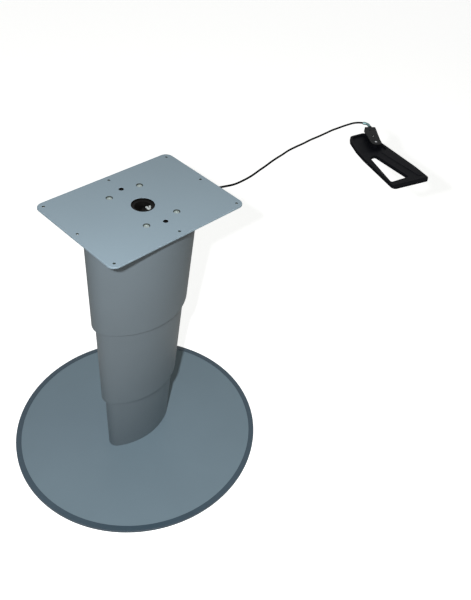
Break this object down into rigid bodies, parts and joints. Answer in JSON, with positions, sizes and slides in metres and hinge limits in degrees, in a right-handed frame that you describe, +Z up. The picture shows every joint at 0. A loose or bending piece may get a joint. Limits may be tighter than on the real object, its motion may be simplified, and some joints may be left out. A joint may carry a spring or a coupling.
{
  "type": "telescoping table pedestal",
  "caption": "Three-stage oval telescoping table column on a round floor plate, with a top plate for a table top and a cable-released gas spring.",
  "frame": {"origin": "on the floor, under the column's axis", "axes": "+Z up along the column, +X along the top plate's long side towards the cable's outlet, +Y along its short side"},
  "size_m": [1.0071, 0.6151, 0.71],
  "materials": {
    "plate_paint": "fine-textured grey powder coat",
    "cover_paint": "satin grey paint",
    "top_paint": "satin light grey paint",
    "edge_trim": "matte dark grey plastic",
    "inner_steel": "plain primed steel",
    "bright_steel": "zinc plated",
    "glide_plastic": "natural bearing plastic",
    "black_paint": "black paint",
    "black_plastic": "black plastic",
    "handle_black": "fine-textured black moulding",
    "belt_rubber": "black rubber",
    "cable_sheath": "black sheath",
    "zinc": "bare alloy"
  },
  "bodies": {
    "base": {"base_plate": "plate_paint", "base_edge_trim": "edge_trim", "foot_flange": "inner_steel", "foot_screws": "bright_steel", "base_post": "inner_steel", "base_post_collar": "glide_plastic", "bottom_cover": "cover_paint", "base_belt_clamp": "bright_steel"},
    "middle_stage": {"middle_post": "bright_steel", "middle_foot_glide": "glide_plastic", "middle_flange": "inner_steel", "middle_post_collar": "glide_plastic", "middle_cover": "cover_paint", "belt_rail": "inner_steel", "pulley_axles": "bright_steel", "sync_belt": "belt_rubber", "spring_seat": "inner_steel", "gas_spring_cylinder": "black_paint", "cylinder_nut": "bright_steel"},
    "top_stage": {"top_plate": "top_paint", "head_flange": "inner_steel", "head_screws": "top_paint", "top_post": "bright_steel", "top_foot_glide": "glide_plastic", "top_cover": "cover_paint", "gas_piston": "black_plastic", "gas_spring_rod": "bright_steel", "release_head": "bright_steel", "release_head_screws": "bright_steel", "release_lever_pin": "bright_steel", "belt_arm": "bright_steel", "top_belt_clamp": "bright_steel", "head_cable_stop": "bright_steel", "cable_grommet": "belt_rubber", "bowden_cable": "cable_sheath", "handle_ferrule": "zinc", "handle_bracket": "black_paint", "cable_adjuster": "black_plastic", "adjuster_nut": "black_plastic", "handle_pivot_pin": "bright_steel", "handle_pivot_washer": "bright_steel"},
    "upper_pulley": {"upper_pulley": "glide_plastic"},
    "lower_pulley": {"lower_pulley": "glide_plastic"},
    "handle_lever": {"handle_lever": "handle_black"},
    "release_lever": {"release_lever": "bright_steel"},
    "release_pin": {"release_pin": "bright_steel"},
    "head_wire": {"head_wire_end": "bright_steel"},
    "handle_wire": {"handle_wire_end": "bright_steel"}
  },
  "joints": [
    {"name": "middle_stage_slide", "type": "slide", "parent": "base", "child": "middle_stage", "axis": [0, 0, 1], "range_m": [-0.165, 0]},
    {"name": "top_stage_slide", "type": "slide", "parent": "middle_stage", "child": "top_stage", "axis": [0, 0, 1], "range_m": [-0.165, 0]},
    {"name": "upper_pulley_turn", "type": "hinge", "parent": "middle_stage", "child": "upper_pulley", "pos_m": [0.052, 0, 0.475], "axis": [0, -1, 0], "range_deg": [-1051, 0]},
    {"name": "lower_pulley_turn", "type": "hinge", "parent": "middle_stage", "child": "lower_pulley", "pos_m": [0.052, 0, 0.195], "axis": [0, -1, 0], "range_deg": [-1051, 0]},
    {"name": "handle_pull", "type": "hinge", "parent": "top_stage", "child": "handle_lever", "pos_m": [0.636, -0.139, 0.693], "axis": [0, 0, -1], "range_deg": [0, 20], "stiffness_Nm_per_rad": 3},
    {"name": "release_lever_tilt", "type": "hinge", "parent": "top_stage", "child": "release_lever", "pos_m": [0.008, 0, 0.69], "axis": [0, -1, 0], "range_deg": [0, 17.2]},
    {"name": "release_pin_press", "type": "slide", "parent": "top_stage", "child": "release_pin", "axis": [0, 0, -1], "range_m": [0, 0.0024]},
    {"name": "head_wire_pull", "type": "slide", "parent": "top_stage", "child": "head_wire", "axis": [1, 0, 0], "range_m": [0, 0.0042]},
    {"name": "handle_wire_pull", "type": "slide", "parent": "top_stage", "child": "handle_wire", "axis": [-0.5736, -0.8192, 0], "range_m": [0, 0.0042]}
  ],
  "couplings": [
    {"joint": "top_stage_slide", "follows": "middle_stage_slide", "ratio": 1},
    {"joint": "upper_pulley_turn", "follows": "middle_stage_slide", "rad_per_m": 111.11},
    {"joint": "lower_pulley_turn", "follows": "middle_stage_slide", "rad_per_m": 111.11},
    {"joint": "release_lever_tilt", "follows": "handle_pull", "ratio": 0.85714},
    {"joint": "release_pin_press", "follows": "handle_pull", "m_per_rad": 0.006857},
    {"joint": "head_wire_pull", "follows": "handle_pull", "m_per_rad": 0.012},
    {"joint": "handle_wire_pull", "follows": "handle_pull", "m_per_rad": 0.012}
  ]
}
